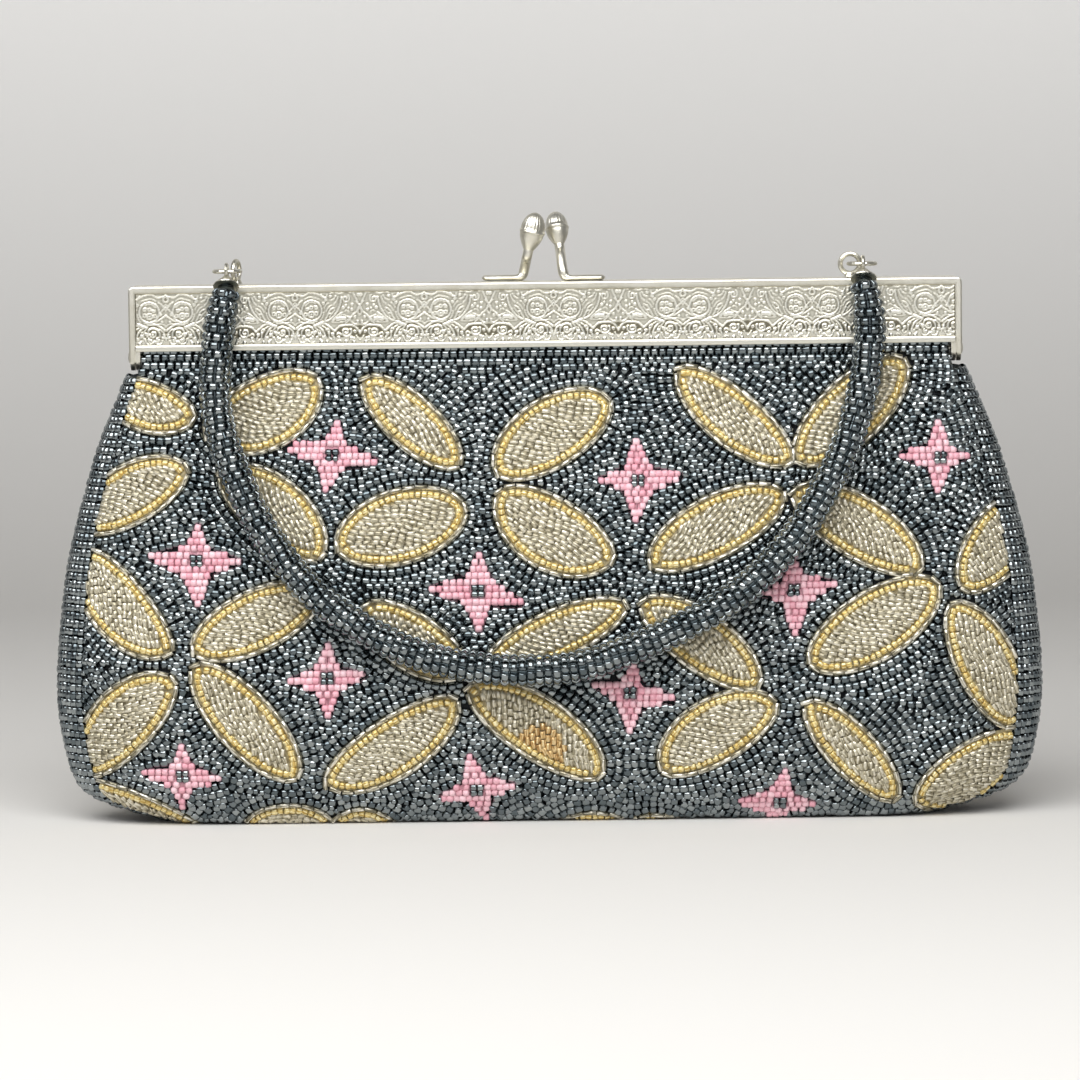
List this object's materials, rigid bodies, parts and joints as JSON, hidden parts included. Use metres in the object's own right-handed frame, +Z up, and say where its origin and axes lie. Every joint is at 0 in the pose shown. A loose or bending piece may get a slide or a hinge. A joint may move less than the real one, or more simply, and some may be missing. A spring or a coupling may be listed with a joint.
{
  "type": "beaded clutch bag",
  "caption": "Soft beaded evening clutch with an embossed kiss-lock frame that hinges open on end rivets and a beaded rope handle hung on linked rings.",
  "frame": {"origin": "middle of the flat base, where the standing bag rests", "axes": "+Z up, -Y towards the front, +X to the right seen from the front, along the frame"},
  "size_m": [0.2374, 0.0479, 0.1448],
  "materials": {
    "embossed_silver": "aged silver plate, dark in the recesses",
    "plain_silver": "polished silver-coloured wire and sheet, slightly dulled",
    "gunmetal_beadwork": "glossy gunmetal seed beads sewn close on cloth",
    "satin_lining": "grey satin"
  },
  "bodies": {
    "bag": {"front_frame": "embossed_silver", "front_inner_strip": "plain_silver", "hinge_rivet_left": "plain_silver", "hinge_rivet_right": "plain_silver", "front_clasp_arm": "plain_silver", "front_clasp_knob": "embossed_silver", "eyelet_left": "plain_silver", "eyelet_right": "plain_silver", "main_panel": "gunmetal_beadwork", "gusset_left": "gunmetal_beadwork", "gusset_right": "gunmetal_beadwork", "gusset_top_left": "gunmetal_beadwork", "gusset_top_right": "gunmetal_beadwork", "lining": "satin_lining"},
    "rear_half": {"rear_frame": "embossed_silver", "rear_inner_strip": "plain_silver", "rear_clasp_arm": "plain_silver", "rear_clasp_knob": "embossed_silver", "rear_panel_top": "gunmetal_beadwork"},
    "jump_rings": {"jump_ring_left": "plain_silver", "jump_ring_right": "plain_silver"},
    "handle": {"handle_cap_left": "plain_silver", "handle_cap_right": "plain_silver", "handle_rope": "gunmetal_beadwork"}
  },
  "joints": [
    {"name": "frame_open", "type": "hinge", "parent": "bag", "child": "rear_half", "pos_m": [0, 0, 0.1113], "axis": [-1, 0, 0], "range_deg": [0, 75], "deforming": ["rear_panel_top", "gusset_top_left", "gusset_top_right"]},
    {"name": "ring_swing", "type": "hinge", "parent": "bag", "child": "jump_rings", "pos_m": [0, -0.0039, 0.13165], "axis": [-1, 0, 0], "range_deg": [0, 50]},
    {"name": "handle_swing", "type": "hinge", "parent": "jump_rings", "child": "handle", "pos_m": [0, -0.00815, 0.13165], "axis": [-1, 0, 0], "range_deg": [0, 130]}
  ]
}
